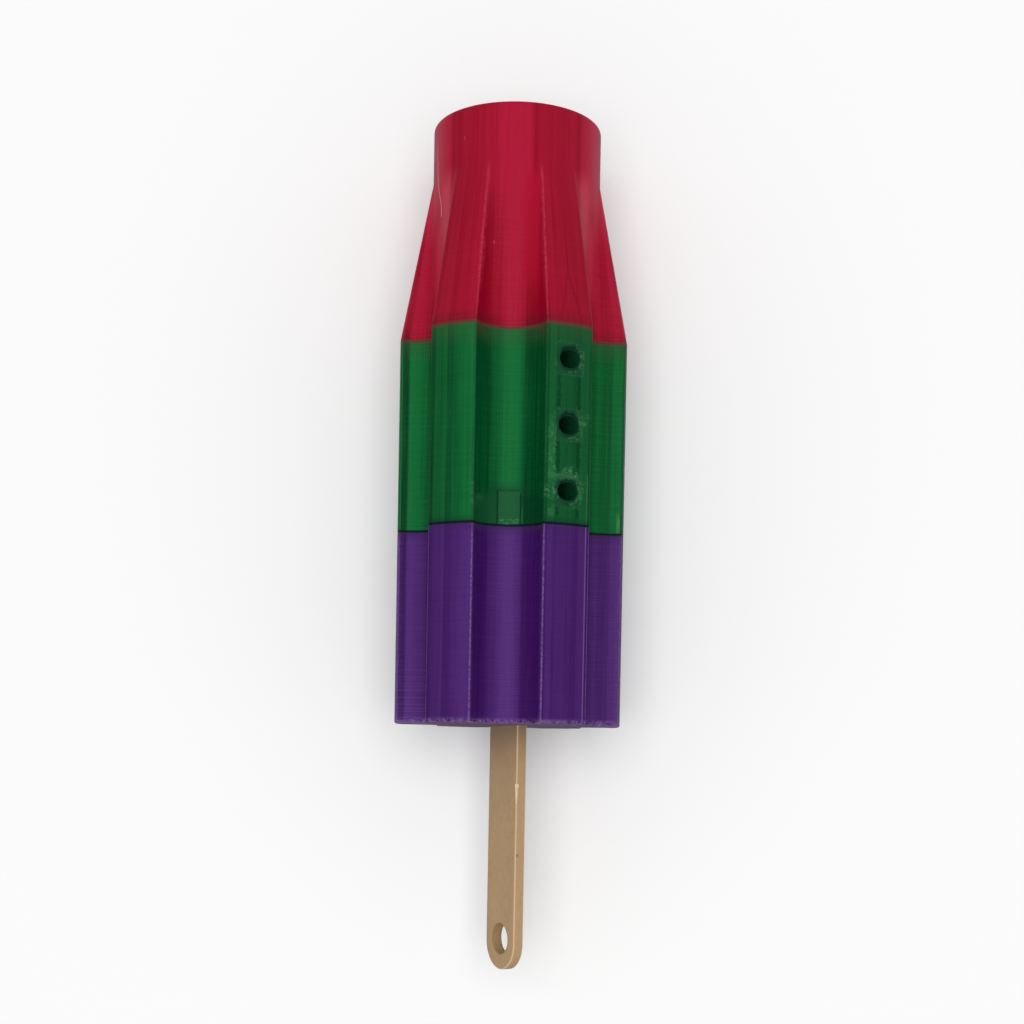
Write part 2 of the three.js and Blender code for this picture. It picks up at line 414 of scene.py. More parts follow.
def moulded_bands():
    """Group: the long bands of lighter and darker colour that the flutes and lobes make
    in the translucent plastic, partly painted shade where walls turn away and painted
    light where side walls face the light above. Shade is how light it is, and Milky
    sheen its milkiness, partly a painted reflection. Glint is a painted highlight along
    the lobes' edges, and Lobe is 1 on lobes and 0 in flutes."""
    tree, w, given, out = shader_group(
        "bands along the body",
        {
            "Height": 0, "Angle": 0, "From flute": 0, "Facing": 0,
            "Lobe contrast": 1, "Streaks": 0.3, "Lines": 1,
        },
        ("Shade", "Milky sheen", "Glint", "Lobe"),
    )
    height, angle, from_flute, facing, contrast = (given.outputs[i] for i in range(5))
    streaks, line_strength = given.outputs["Streaks"], given.outputs["Lines"]
    right_side = w.step_up(angle, -0.5, 0.5)
    on_lobe = w.step_up(w.math("ABSOLUTE", from_flute), EDGE_ANGLE - 0.3, EDGE_ANGLE + 0.3)
    across_lobe = w.math("WRAP", w.math("ADD", angle, -LOBE_HALF), LOBE_HALF, -LOBE_HALF)
    flute_at = w.math("SUBTRACT", angle, from_flute)
    across_flute = w.math("WRAP", w.math("SUBTRACT", facing, flute_at), 180.0, -180.0)
    aside = w.math("ABSOLUTE", angle)
    on_side = w.times(w.step_up(aside, 28.0, 32.0), w.step_up(aside, 92.0, 88.0))

    # painted shade in part: walls that turn away are darker, and the side flutes' walls lighter
    # where they face the light above
    left_lobe = w.line(across_lobe, LEFT_LOBE_SHADE)
    right_lobe = w.line(across_lobe, RIGHT_LOBE_SHADE)
    lobe = w.blend(right_side, left_lobe, right_lobe)
    lobe = w.blend(contrast, LOBE_GREY, lobe)
    left_wall = w.line(facing, LEFT_WALL_SHADE)
    right_wall = w.line(facing, RIGHT_WALL_SHADE)
    wall = w.blend(right_side, left_wall, right_wall)
    flute = w.blend(on_side, w.line(across_flute, FLUTE_SHADE), wall)
    shade = w.blend(on_lobe, flute, lobe)
    on_neck = w.step_up(height, NECK_START - 12, NECK_START - 1)
    shade = w.blend(on_neck, shade, w.line(from_flute, NECK_SHADE))

    # partly a painted reflection of the pale surroundings, partly the plastic's own milkiness
    left_milk_and_sheen = w.line(across_lobe, LEFT_LOBE_MILK_AND_SHEEN)
    right_milk_and_sheen = w.line(across_lobe, RIGHT_LOBE_MILK_AND_SHEEN)
    lobe_milk_and_sheen = w.blend(right_side, left_milk_and_sheen, right_milk_and_sheen)
    off_side = w.math("SUBTRACT", 1.0, on_side)
    flute_milk_and_sheen = w.times(w.line(across_flute, FLUTE_MILK_AND_SHEEN), off_side)
    milk_and_sheen = w.blend(on_lobe, flute_milk_and_sheen, lobe_milk_and_sheen)

    def uneven(across_scale, up_scale, detail, roughness=0.5):
        """Noise round 0, drawn out along the body or across it."""
        along = {0: w.times(across, across_scale), 1: w.times(height, up_scale)}
        place = w.add("ShaderNodeCombineXYZ", along).outputs[0]
        return w.math("SUBTRACT", w.noise(place, 1.0, detail, roughness), 0.5)

    # millimetres across a flute's wall or a lobe
    across = w.blend(on_lobe, w.times(facing, 0.11), w.times(angle, 0.37))
    shade = w.math("MULTIPLY_ADD", uneven(1.8, 0.03, 3.0, 0.7), streaks, shade)
    depth = w.times(w.math("MULTIPLY_ADD", shade, 0.9, 0.2), line_strength)
    plainer = w.math("MAXIMUM", w.times(on_lobe, 0.6), w.times(on_neck, 0.85))
    depth = w.times(depth, w.math("SUBTRACT", 1.0, plainer))
    shade = w.math("MULTIPLY_ADD", uneven(0.05, 4.2, 1.0), depth, shade)
    shade = w.math("MULTIPLY_ADD", uneven(0.14, 0.12, 2.0), 0.16, shade)
    shade = w.math("MULTIPLY_ADD", uneven(3.0, 2.0, 3.0, 0.6), 0.4, shade, clamp=True)

    # painted highlight along the lobes' edges: wider up the taper, fainter on the outer lobes
    # there, ragged, and none on the neck
    taper = w.step_up(height, TAPER_START + 1, TAPER_START + 13)
    edge_width = w.math("MULTIPLY_ADD", taper, 0.7, 0.65)
    edge = w.bump_of(w.math("ABSOLUTE", from_flute), EDGE_ANGLE + 0.2, edge_width)
    edge = w.times(edge, w.math("MULTIPLY_ADD", taper, 0.5, 1.0), clamp=True)
    outer = w.times(taper, w.step_up(aside, 34.0, 46.0))
    edge = w.times(edge, w.math("MULTIPLY_ADD", outer, -0.9, 1.0))
    ragged = w.step_up(uneven(0.06, 1.9, 2.0, 0.7), -0.14, 0.12)
    glint = w.times(edge, w.math("MULTIPLY_ADD", ragged, 0.65, 0.35))
    glint = w.times(glint, w.step_up(height, NECK_START + 1, NECK_START - 3))
    for socket, value in {"Shade": shade, "Milky sheen": milk_and_sheen, "Glint": glint, "Lobe": on_lobe}.items():
        tree.links.new(value, out.inputs[socket])
    return tree


LAYER_PITCH = 0.25  # height of one printed layer
LAYER_RELIEF = 0.01
GRAIN_RELIEF = 0.02


def printed_layers():
    """Group: relief of the fine layers, for a bump."""
    tree, w, given, out = shader_group("printed layers", {"Height": 0, "Angle": 0}, ("Relief",))
    height, angle = given.outputs[0], given.outputs[1]
    place = w.add("ShaderNodeCombineXYZ", {0: w.times(angle, 0.08), 1: w.times(height, 0.5)})
    wander = w.times(w.noise(place.outputs[0], 1.0), 0.6 * LAYER_PITCH)
    turn = w.times(w.math("ADD", height, wander), math.pi / LAYER_PITCH)
    tree.links.new(w.math("ABSOLUTE", w.math("SINE", turn)), out.inputs["Relief"])
    return tree


def patch_mask():
    """Group: 1 inside a patch of the surface, given by its angles and heights, with soft
    edges."""
    limits = {"Left": -5, "Right": 5, "Bottom": 0, "Top": 5, "Soft across": 0.5, "Soft up": 0.2}
    inputs = {"Angle": 0, "Height": 0, **limits}
    tree, w, given, out = shader_group("patch of the surface", inputs, ("Mask",))
    angle, height = given.outputs["Angle"], given.outputs["Height"]
    across, up = given.outputs["Soft across"], given.outputs["Soft up"]
    sides = (
        (w.math("SUBTRACT", angle, given.outputs["Left"]), across),
        (w.math("SUBTRACT", given.outputs["Right"], angle), across),
        (w.math("SUBTRACT", height, given.outputs["Bottom"]), up),
        (w.math("SUBTRACT", given.outputs["Top"], height), up),
    )
    mask = 1.0
    for inside, soft in sides:
        mask = w.times(mask, w.math("ADD", w.math("DIVIDE", inside, soft), 0.5, clamp=True))
    tree.links.new(mask, out.inputs["Mask"])
    return tree


def speck_mask():
    """Group: small scattered specks, more of them the higher Amount is."""
    tree, w, given, out = shader_group("specks", {"Amount": 0.5}, ("Mask",), (), ("Unrolled",))
    fine = w.noise(given.outputs["Unrolled"], 5.0, 3.0, 0.8)
    patchy = w.noise(given.outputs["Unrolled"], 1.3, 2.0, 0.6)
    grain = w.blend(0.4, fine, patchy)
    limit = w.math("MULTIPLY_ADD", given.outputs["Amount"], -0.2, 0.665)
    above = w.math("DIVIDE", w.math("SUBTRACT", grain, limit), 0.07, clamp=True)
    tree.links.new(above, out.inputs["Mask"])
    return tree


BODY_ROUGHNESS = 0.32
BODY_COAT = 0.35
BODY_SPECULAR = 0.22
COAT_ROUGHNESS = 0.12


def new_material(name):
    material = bpy.data.materials.new(name)
    material.use_nodes = True
    material.node_tree.nodes.clear()
    return material, Wiring(material.node_tree)


def finish_material(w, colour, roughness, normal, coat=0.0, specular=0.5):
    inputs = {
        "Base Color": colour,
        "Roughness": roughness,
        "Specular IOR Level": specular,
        "Coat Weight": coat,
        "Coat Roughness": COAT_ROUGHNESS,
        "Normal": normal,
    }
    surface = w.add("ShaderNodeBsdfPrincipled", inputs)
    w.add("ShaderNodeOutputMaterial", {"Surface": surface.outputs[0]})


def body_plastic(name, groups, colours, strength, features):
    """Glossy translucent plastic in which the bands, streaks and layers show."""
    material, w = new_material(name)
    place = w.add("ShaderNodeGroup", node_tree=groups["place"]).outputs
    sockets = ("Height", "Angle", "From flute", "Facing")
    given = {socket: place[socket] for socket in sockets}
    for socket in ("Lobe contrast", "Streaks", "Lines"):
        given[socket] = strength[socket]
    bands = w.add("ShaderNodeGroup", given, node_tree=groups["bands"]).outputs
    colour = w.mix(bands["Shade"], colours["deep"], colours["clear"])
    # partly a painted reflection of the pale surroundings
    colour = w.marked(colour, bands["Milky sheen"], strength["Milky sheen"], colours["milky_sheen"])
    # painted highlight along the lobes' edges
    colour = w.marked(colour, bands["Glint"], strength["Glint"], colours["glint"])
    colour = features(w, groups, place, bands, colour)
    where = {"Height": place["Height"], "Angle": place["Angle"]}
    layers = w.add("ShaderNodeGroup", where, node_tree=groups["layers"]).outputs[0]
    normal = w.relief(layers, LAYER_RELIEF, 0.5)
    finish_material(w, colour, BODY_ROUGHNESS, normal, BODY_COAT, BODY_SPECULAR)
    return material


def patch(w, groups, place, angles, heights, soft_across=0.5, soft_up=0.2):
    given = {
        "Angle": place["Angle"], "Height": place["Height"], "Left": angles[0], "Right": angles[1],
        "Bottom": heights[0], "Top": heights[1], "Soft across": soft_across, "Soft up": soft_up,
    }
    return w.add("ShaderNodeGroup", given, node_tree=groups["patch"]).outputs[0]


def specks(w, groups, place, amount):
    given = {"Unrolled": place["Unrolled"], "Amount": amount}
    return w.add("ShaderNodeGroup", given, node_tree=groups["specks"]).outputs[0]


def red_features(w, groups, place, bands, colour):
    """The red greys towards the green. Painted light makes the sides of the neck and the
    walls next to it paler, and lifts the shade deep in their hollows and on the front
    flute's right wall. Faint painted dark streaks of an internal reflection branch down
    the lobe right of the front, painted reflections of the dark horizon run up the neck
    as dark stripes, and the neck has a long thin scratch."""
    height, angle = place["Height"], place["Angle"]
    aside = w.math("ABSOLUTE", angle)

    # towards the green
    plain = w.math("SUBTRACT", 1.0, bands["Shade"])
    low = w.times(w.step_up(height, MIDDLE_TOP + 3.2, MIDDLE_TOP), plain)
    colour = w.marked(colour, low, 0.7, srgb(84, 20, 32))

    # painted light: the sides of the neck and the walls under it paler, and the shade deep in their
    # hollows lifted to a fuller red
    painted_light_on_neck_sides = w.times(w.step_up(aside, 48.0, 84.0), w.step_up(height, 86.0, 98.0))
    colour = w.marked(colour, painted_light_on_neck_sides, 0.7, srgb(192, 52, 76))
    painted_light_beside_neck = w.times(w.step_up(aside, 43.0, 52.0), w.step_up(aside, 66.0, 54.0))
    high = w.times(w.step_up(height, 80.0, 89.0), w.step_up(height, 101.0, 95.0))
    colour = w.marked(colour, w.times(painted_light_beside_neck, high), 0.5, srgb(200, 70, 88))
    painted_light_in_grooves = w.times(w.bump_of(aside, 63.5, 9.0), w.step_up(height, 74.0, 80.0))
    painted_light_in_grooves = w.times(painted_light_in_grooves, w.step_up(height, 93.0, 88.0))
    colour = w.marked(colour, painted_light_in_grooves, 0.7, srgb(196, 26, 60))

    # painted light: a lighter, fuller red over the painted shade right of the front flute's middle
    painted_light_on_flank = w.times(w.step_up(angle, 5.5, 8.0), w.step_up(angle, 17.0, 15.5))
    high = w.times(w.step_up(height, 74.0, 82.0), w.step_up(height, 100.0, 95.0))
    colour = w.marked(colour, w.times(painted_light_on_flank, high), 0.7, srgb(168, 0, 40))

    # the painted internal reflection that branches down the lobe, two flecks, and painted
    # reflections of the dark horizon up the neck
    reflected_fork = w.times(w.math("SUBTRACT", 80.0, height), 0.65)
    reflected_fork = w.math("MAXIMUM", reflected_fork, 0.0)
    off_middle = w.math("ABSOLUTE", w.math("SUBTRACT", angle, 30.0))
    reflected_fork = w.times(w.bump_of(off_middle, reflected_fork, 0.8), w.step_up(height, 92.0, 84.0))
    colour = w.marked(colour, reflected_fork, 0.6, srgb(122, 4, 28))
    for left, low in ((-12.8, 84.9), (-36.7, 104.2)):
        fleck = patch(w, groups, place, (left, left + 0.6), (low, low + 0.5), 0.8, 0.4)
        colour = w.marked(colour, fleck, 0.5, srgb(200, 80, 100))
    # painted reflection of the dark horizon: two dark stripes up the neck
    horizon_reflection_lines = w.math("MAXIMUM", w.bump_of(angle, -40.5, 3.0), w.bump_of(angle, 46.5, 4.0))
    horizon_reflection_lines = w.times(horizon_reflection_lines, w.step_up(height, 96.0, 101.0))
    colour = w.marked(colour, horizon_reflection_lines, 0.6, srgb(136, 0, 30))

    # the scratch
    wiggle = w.add("ShaderNodeCombineXYZ", {1: w.times(height, 0.7)}).outputs[0]
    wiggle = w.math("SUBTRACT", w.noise(wiggle, 1.0, 1.0), 0.5)
    path = w.line(height, ((92, 0.8), (94, 0.8), (97, 0.5), (101, 0.3), (106, 0.1)))
    path = w.math("MULTIPLY_ADD", path, 14.0, -72.0)
    path = w.math("MULTIPLY_ADD", wiggle, 3.0, path)
    scratch = w.bump_of(angle, path, 0.6)
    ends = w.times(w.step_up(height, 91.8, 92.4), w.step_up(height, 106.4, 104.8))
    colour = w.marked(colour, w.times(scratch, ends), 0.75, srgb(226, 168, 178))
    return w.marked(colour, w.bump_of(height, MIDDLE_TOP, 0.5), 0.9, srgb(88, 56, 46))


def purple_features(w, groups, place, bands, colour):
    """The purple greys towards the green, a thin painted highlight runs up each lobe right
    of the front, faint stripes lie low on the left, and the foot's edge has speckled
    painted highlights."""
    height = place["Height"]
    near_top = w.step_up(height, BASE_TOP - 1.8, BASE_TOP)
    colour = w.marked(colour, near_top, 0.5, srgb(56, 36, 72))
    # painted highlight: a thin line up each lobe right of the front
    across = w.math("WRAP", w.math("ADD", place["Angle"], -LOBE_HALF), LOBE_HALF, -LOBE_HALF)
    line = w.times(w.bump_of(across, 10.4, 0.55), w.step_up(place["Angle"], -0.5, 0.5))
    colour = w.marked(colour, line, 0.95, srgb(110, 80, 142))
    stripes = w.add("ShaderNodeCombineXYZ", {1: w.times(height, 2.4)}).outputs[0]
    stripes = w.step_up(w.noise(stripes, 1.0, 1.0), 0.5, 0.62)
    left_low = w.times(w.step_up(place["Angle"], -60.0, -68.0), w.step_up(height, 17.0, 5.0))
    colour = w.marked(colour, w.times(stripes, left_low), 0.28, srgb(102, 66, 132))
    # speckled painted highlights along the foot's edge
    foot = w.times(w.step_up(height, 1.8, 0.8), specks(w, groups, place, 1.0))
    return w.marked(colour, foot, 0.75, srgb(126, 100, 148))


# Marks on the holes' lobe, as (lowest, highest) and (left, right). Their sides are in
# degrees from the lobe's middle.
STRIPE_HEIGHTS = ((55.6, 61.4), (44.6, 50.0), (36.9, 38.6))
STRIPE_SIDES = ((-7.0, -5.4), (3.6, 5.6))
ROUGH_SPOTS = (
    ((41.6, 43.2), (4.5, 10.5)),
    ((53.0, 55.0), (6.0, 11.5)),
    ((39.9, 42.3), (-13.0, -6.0)),
)


def green_features(w, groups, place, bands, colour):
    """What shows in the green: a key behind the front flute, marks round the three holes
    with a painted shadow and a painted highlight at each, scuffs with some painted glints,
    painted highlights along two lobe edges and at the key's foot, and how it darkens
    towards its ends."""
    height, angle = place["Height"], place["Angle"]
    wobble = w.math("SUBTRACT", w.noise(place["Unrolled"], 1.1, 3.0, 0.7), 0.5)
    uneven = {
        "Angle": w.math("MULTIPLY_ADD", wobble, 4.5, angle),
        "Height": w.math("MULTIPLY_ADD", wobble, -1.8, height),
    }
    speckled = specks(w, groups, place, 0.75)

    def straight(angles, heights, soft_across=0.5, soft_up=0.2):
        return patch(w, groups, place, angles, heights, soft_across, soft_up)

    def ragged(across, heights, soft_across=1.0, soft_up=0.4):
        """A patch with uneven borders, across in degrees from the middle of the holes' lobe."""
        angles = [HOLE_LOBE + a for a in across]
        return patch(w, groups, uneven, angles, heights, soft_across, soft_up)

    # towards the red and towards the purple
    top = w.step_up(height, MIDDLE_TOP - 4.5, MIDDLE_TOP - 0.3)
    colour = w.marked(colour, top, 0.3, srgb(62, 84, 52))
    bottom = w.times(w.step_up(height, BASE_TOP + 1.7, BASE_TOP + 0.1), bands["Lobe"])
    colour = w.marked(colour, bottom, 0.55, srgb(14, 36, 34))

    # the key, seen through the front flute
    shadow = straight((-13, 13), (BASE_TOP, KEY_TOP + 0.8), 3.5, 1.8)
    colour = w.marked(colour, shadow, 0.45, srgb(14, 62, 38))
    left_of_key = straight((-17, -KEY_HALF), (BASE_TOP, KEY_TOP - 1), 0.6, 2.0)
    colour = w.marked(colour, left_of_key, 0.45, srgb(24, 78, 46))
    right_of_key = straight((KEY_HALF + 1.4, 17), (BASE_TOP, KEY_TOP - 1), 0.6, 2.0)
    colour = w.marked(colour, right_of_key, 0.5, srgb(3, 50, 28))
    key = straight((-KEY_HALF, KEY_HALF), (BASE_TOP, KEY_TOP), 0.5, 0.3)
    colour = w.marked(colour, key, 0.7, srgb(33, 90, 55))
    layers = w.math("FRACT", w.times(height, 1.9))
    printed = w.times(key, w.step_up(layers, 0.25, 0.0))
    colour = w.marked(colour, printed, 0.4, srgb(14, 66, 40))
    left_edge = straight((-KEY_HALF - 0.5, -KEY_HALF + 0.6), (BASE_TOP, KEY_TOP - 0.2), 0.5, 0.3)
    colour = w.marked(colour, left_edge, 0.85, srgb(4, 52, 30))
    right_edge = straight((KEY_HALF - 0.7, KEY_HALF + 0.5), (BASE_TOP, KEY_TOP - 0.6), 0.5, 0.3)
    colour = w.marked(colour, right_edge, 0.85, srgb(6, 52, 32))
    line_height = (BASE_TOP + 0.4, KEY_TOP - 3.5)
    right_line = straight((KEY_HALF + 0.7, KEY_HALF + 1.2), line_height, 0.5, 1.0)
    colour = w.marked(colour, right_line, 0.5, srgb(60, 112, 74))
    top_edge = straight((-KEY_HALF, KEY_HALF - 0.5), (KEY_TOP - 0.35, KEY_TOP), 0.5, 0.2)
    colour = w.marked(colour, top_edge, 0.6, srgb(6, 60, 34))
    # speckled painted highlights at the key's foot
    foot = straight((-6, 7), (BASE_TOP + 0.3, BASE_TOP + 1.3), 2.0, 0.5)
    colour = w.marked(colour, w.times(foot, speckled), 0.85, srgb(74, 140, 92))

    # the lobe with the holes is duller, with darker stripes between the holes
    lobe = straight((HOLE_LOBE - 12, HOLE_LOBE + 11), (BASE_TOP, MIDDLE_TOP), 0.6, 0.3)
    colour = w.marked(colour, lobe, 0.3, srgb(22, 70, 42))
    for heights in STRIPE_HEIGHTS:
        for sides in STRIPE_SIDES:
            stripe = ragged(sides, heights, 0.8, 0.6)
            colour = w.marked(colour, stripe, 0.75, srgb(2, 58, 28))

    # wear round the holes, with a painted shadow round each, ragged at its edge, and a painted
    # highlight on each hole's lower right side
    across = w.math("SUBTRACT", angle, HOLE_LOBE + HOLE_ASIDE)
    across = w.times(across, math.radians(BODY_RADIUS))
    up = w.math("SUBTRACT", height, HOLE_MIDDLE)
    up = w.math("WRAP", up, HOLE_SPACING / 2, -HOLE_SPACING / 2)
    on_holes = straight((HOLE_LOBE - 12, HOLE_LOBE + 11.5), (BASE_TOP, MIDDLE_TOP), 0.6, 0.3)
    square = w.math("MAXIMUM", w.math("ABSOLUTE", across), w.math("ABSOLUTE", up))
    square = w.math("MULTIPLY_ADD", wobble, 1.2, square)
    collar = w.times(w.step_up(square, 3.0, 2.6), on_holes)
    colour = w.marked(colour, collar, 0.45, srgb(24, 72, 46))
    collar_line = w.times(w.bump_of(square, 2.85, 0.25), on_holes)
    collar_line = w.times(collar_line, w.step_up(wobble, -0.05, 0.12))
    colour = w.marked(colour, collar_line, 0.5, srgb(56, 108, 70))

    def from_hole(lift, unevenness):
        """Distance from a place a little above the middle of the nearest hole."""
        above = w.math("SUBTRACT", up, lift)
        squares = w.math("ADD", w.math("POWER", across, 2.0), w.math("POWER", above, 2.0))
        return w.math("MULTIPLY_ADD", wobble, unevenness, w.math("SQRT", squares))

    distance = from_hole(0.0, 0.6)
    shadow = w.times(w.step_up(distance, HOLE_RADIUS + 1.0, HOLE_RADIUS + 0.2), on_holes)
    colour = w.marked(colour, shadow, 0.55, srgb(8, 48, 32))
    # painted shadow: a ragged dark edge round each hole
    ragged_shadow = w.step_up(from_hole(0.18, 2.0), HOLE_RADIUS + 0.3, HOLE_RADIUS + 0.05)
    colour = w.marked(colour, w.times(ragged_shadow, on_holes), 0.85, srgb(3, 42, 26))
    # painted highlight on each hole's lower right side
    lower_right = w.step_up(w.math("SUBTRACT", across, w.times(up, 0.6)), 0.3, 1.6)
    rim_highlight = w.times(w.bump_of(distance, HOLE_RADIUS + 0.42, 0.3), lower_right)
    rim_highlight = w.times(rim_highlight, w.step_up(w.noise(place["Unrolled"], 0.9, 2.0), 0.42, 0.6))
    colour = w.marked(colour, w.times(rim_highlight, on_holes), 0.4, srgb(70, 122, 84))
    wear_and_highlight = w.times(w.bump_of(distance, HOLE_RADIUS + 0.8, 0.8), w.step_up(across, 0.6, 2.2))
    wear_and_highlight = w.times(w.times(wear_and_highlight, on_holes), speckled)
    colour = w.marked(colour, wear_and_highlight, 0.8, srgb(72, 130, 88))

    # scuffs, some with painted glints, and painted highlights along two edges
    left_scuff = ragged((-11, -7.4), (43.2, 53.5), 0.8, 2.5)
    colour = w.marked(colour, left_scuff, 0.4, srgb(34, 104, 58))
    colour = w.marked(colour, w.times(left_scuff, speckled), 0.75, srgb(60, 122, 76))
    ledge = ragged((-11.5, 5), (43.4, 44.4))
    colour = w.marked(colour, ledge, 0.45, srgb(50, 108, 68))
    # scuffed specks with painted glints on them
    scuff_glints = ragged((-3, 4), (43.9, 45.6), 2.0, 0.5)
    colour = w.marked(colour, w.times(scuff_glints, speckled), 0.9, srgb(86, 150, 100))
    for heights, sides in ROUGH_SPOTS:
        rough = w.times(ragged(sides, heights, 1.2, 0.5), speckled)
        colour = w.marked(colour, rough, 0.8, srgb(66, 128, 80))
    colour = w.marked(colour, ragged((-11, -7.6), (36.9, 38.3), 0.8, 0.4), 0.5, srgb(44, 104, 66))
    # painted highlight along the outer edge of the holes' lobe
    rim_highlight = straight((HOLE_LOBE + 10.5, HOLE_LOBE + 11.1), (36.2, 44.6), 0.4, 0.8)
    colour = w.marked(colour, rim_highlight, 0.6, srgb(62, 112, 76))
    # painted highlight on the right side flute's wall, where it faces nearly towards the light
    # above
    side_glint = straight((60, 78), (36.3, 38.6), 0.5, 2.6)
    side_glint = w.times(w.bump_of(place["Facing"], -10.0, 2.4), side_glint)
    colour = w.marked(colour, side_glint, 0.6, srgb(100, 152, 104))
    wear_and_highlight = straight((-18.5, -15), (38.5, 42.5), 1.0, 1.0)
    colour = w.marked(colour, w.times(wear_and_highlight, speckled), 0.7, srgb(56, 112, 72))

    # a soft change of colour at the red, and the dark joint at the purple
    change = w.bump_of(height, MIDDLE_TOP, 0.5)
    colour = w.marked(colour, change, 0.9, srgb(88, 56, 46))
    joint = w.step_up(height, BASE_TOP + 0.45, BASE_TOP + 0.25)
    return w.marked(colour, joint, 0.9, srgb(8, 26, 28))


def plain_plastic(name, colour, grain, roughness, coat=0.0, contrast=0.2):
    """Plastic with a slight mottle."""
    material, w = new_material(name)
    place = w.add("ShaderNodeTexCoord").outputs["Object"]
    mottle = w.noise(place, grain, 3.0, 0.6)
    light = [min(1, c * (1 + contrast)) for c in colour[:3]] + [1]
    dark = [c * (1 - contrast) for c in colour[:3]] + [1]
    shade = w.mix(mottle, dark, light)
    normal = w.relief(mottle, GRAIN_RELIEF, 0.4)
    finish_material(w, shade, roughness, normal, coat=coat)
    return material


def stick_plastic():
    """Tan plastic, greyer where it goes into the purple and with a painted highlight on its
    rounded edges, with a dark spot in one side."""
    material, w = new_material("tan plastic")
    place = w.add("ShaderNodeTexCoord").outputs["Object"]
    x, y, z = w.add("ShaderNodeSeparateXYZ", {0: place}).outputs
    below = w.times(w.math("SUBTRACT", x, BASE_X), 1 / MM)
    mottle = w.noise(place, 900, 3.0, 0.6)
    cloud = w.noise(place, 120, 2.0, 0.5)
    colour = w.mix(mottle, srgb(164, 134, 97), srgb(186, 154, 114))
    colour = w.marked(colour, cloud, 0.3, srgb(156, 128, 95))
    near = w.step_up(below, 9.0, -1.0)
    colour = w.marked(colour, near, 0.5, srgb(120, 98, 84))
    # painted highlight on the rounded edges
    edge = w.add("ShaderNodeAttribute", attribute_name="edge").outputs["Fac"]
    colour = w.mix(edge, colour, srgb(206, 176, 134))
    corner = Vector((STICK_WIDTH / 2, SPOT_HEIGHT, STICK_THICKNESS / 2))
    spot_at = LAID_DOWN @ STICK_STANDS @ (corner - Vector((0, 0, SPOT_IN)))
    from_spot = w.add(
        "ShaderNodeVectorMath", {0: place, 1: tuple(spot_at)}, operation="DISTANCE"
    ).outputs["Value"]
    spot = w.step_up(from_spot, 0.4 * MM, 0.15 * MM)
    colour = w.marked(colour, spot, 0.6, srgb(104, 84, 66))
    normal = w.relief(mottle, GRAIN_RELIEF, 0.35)
    finish_material(w, colour, 0.5, normal, coat=0.1, specular=0.4)
    return material


# Shapes

def drawn_arc(bm, start, centre, degrees, steps):
    """Draws an arc of edges from a vertex round a centre, and gives its last vertex."""
    angle = math.radians(degrees)
    made = bmesh.ops.spin(
        bm, geom=[start], cent=(*centre, 0), axis=(0, 0, 1), angle=angle, steps=steps
    )
    return next(g for g in made["geom_last"] if isinstance(g, bmesh.types.BMVert))


def body_outline(bm):
    """The body's outline in the plane z = 0: edge, flute, edge and lobe, six times."""
    edge_out = BODY_RADIUS - EDGE_RADIUS
    edge_reach = FLUTE_RADIUS + EDGE_RADIUS
    cosine = (edge_out**2 + FLUTE_CENTRE**2 - edge_reach**2) / (2 * edge_out * FLUTE_CENTRE)
    edge_angle = math.degrees(math.acos(cosine))
    edge = Matrix.Rotation(math.radians(edge_angle), 2) @ Vector((edge_out, 0))
    to_flute = Vector((FLUTE_CENTRE, 0)) - edge
    down_to_flute = math.degrees(math.atan2(-to_flute.y, to_flute.x))
    edge_sweep = edge_angle + down_to_flute

    def turned(point, degrees):
        return Matrix.Rotation(math.radians(degrees), 2) @ Vector(point)

    last = bm.verts.new((*turned((BODY_RADIUS, 0), -edge_angle), 0))
    for k in range(LOBES):
        turn = k * 360 / LOBES
        last = drawn_arc(bm, last, turned((edge.x, -edge.y), turn), edge_sweep, EDGE_STEPS)
        flute = turned((FLUTE_CENTRE, 0), turn)
        last = drawn_arc(bm, last, flute, -2 * down_to_flute, FLUTE_STEPS)
        last = drawn_arc(bm, last, turned(edge, turn), edge_sweep, EDGE_STEPS)
        last = drawn_arc(bm, last, (0, 0), 360 / LOBES - 2 * edge_angle, LOBE_STEPS)
    bmesh.ops.remove_doubles(bm, verts=bm.verts, dist=WELD_DISTANCE)


def lofted_body(levels):
    """A closed body from levels (height, inset, round): inset draws the outline in, and
    round takes it from fluted, 0, to the neck's circle, 1."""
    bm = bmesh.new()
    outline = bm.verts.layers.float_vector.new("outline")
    outward = bm.verts.layers.float_vector.new("outward")
    body_outline(bm)
    for vert in bm.verts:
        before, after = (edge.other_vert(vert).co for edge in vert.link_edges)
        along = after - before
        out = Vector((along.y, -along.x, 0)).normalized()
        vert[outline] = vert.co
        vert[outward] = out if out.dot(vert.co) > 0 else -out

    def place(verts, height, inset, round_):
        for vert in verts:
            fluted = vert[outline] - vert[outward] * inset * (1 - round_)
            radius = fluted.length
            wanted = radius + (NECK_RADIUS - inset - radius) * round_
            vert.co = fluted * (wanted / radius)
            vert.co.z = height

    ring = list(bm.edges)
    place(bm.verts, *levels[0])
    foot = bmesh.ops.contextual_create(bm, geom=ring)["faces"]
    for level in levels[1:]:
        made = bmesh.ops.extrude_edge_only(bm, edges=ring)["geom"]
        fresh = {g for g in made if isinstance(g, bmesh.types.BMVert)}
        ring = [g for g in made if isinstance(g, bmesh.types.BMEdge) and set(g.verts) <= fresh]
        place(fresh, *level)
    head = bmesh.ops.contextual_create(bm, geom=ring)["faces"]
    for face in foot + head:
        face.material_index = END_FINISH
    face_outwards(bm)
    return bm


def face_outwards(bm):
    bmesh.ops.recalc_face_normals(bm, faces=bm.faces)
    if bm.calc_volume(signed=True) < 0:
        bmesh.ops.reverse_faces(bm, faces=bm.faces)


